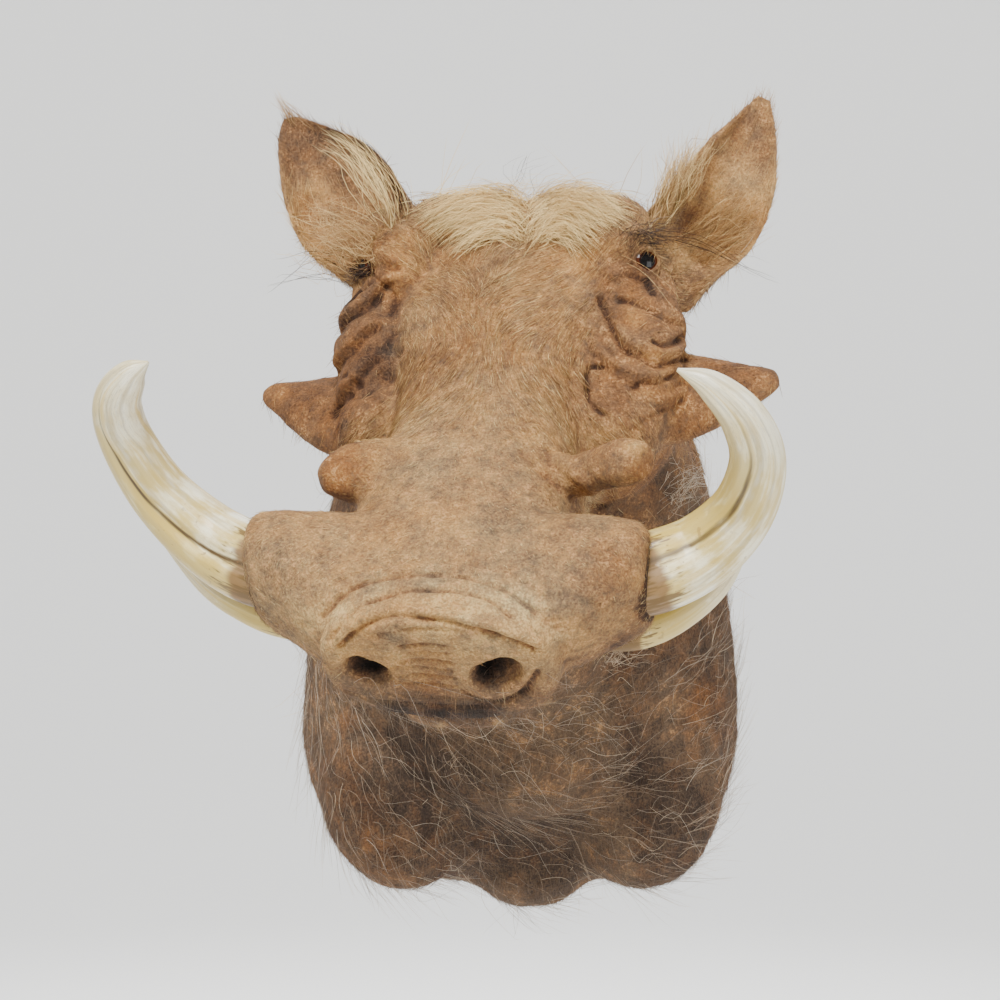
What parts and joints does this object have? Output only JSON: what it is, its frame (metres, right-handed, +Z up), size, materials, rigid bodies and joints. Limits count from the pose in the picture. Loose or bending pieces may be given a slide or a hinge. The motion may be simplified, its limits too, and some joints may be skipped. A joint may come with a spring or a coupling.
{
  "type": "warthog shoulder mount",
  "caption": "Wall-hung warthog shoulder mount: head lowered and turned a little, curved tusks, upright ears, plywood backboard with a toothed hanger.",
  "frame": {"origin": "on the wall, in the middle of the backboard's flat rear face", "axes": "+X to the right of someone facing the mount, +Y into the wall, +Z up"},
  "size_m": [0.4074, 0.4633, 0.5426],
  "materials": {
    "hide": "short tan hair over grey-brown skin, straw mane",
    "ivory": "smooth, grooved, stained brown in the grooves and near the root",
    "glass_eye": "glossy, dark red-brown",
    "plywood": "bare, sanded",
    "zinc_steel": "zinc plated"
  },
  "bodies": {
    "root": {"hide": "hide", "left_eye": "glass_eye", "right_eye": "glass_eye", "upper_left_tusk": "ivory", "upper_right_tusk": "ivory", "lower_left_tusk": "ivory", "lower_right_tusk": "ivory", "backboard": "plywood", "hanger": "zinc_steel", "hanger_screw_left": "zinc_steel", "hanger_screw_right": "zinc_steel"}
  },
  "joints": []
}
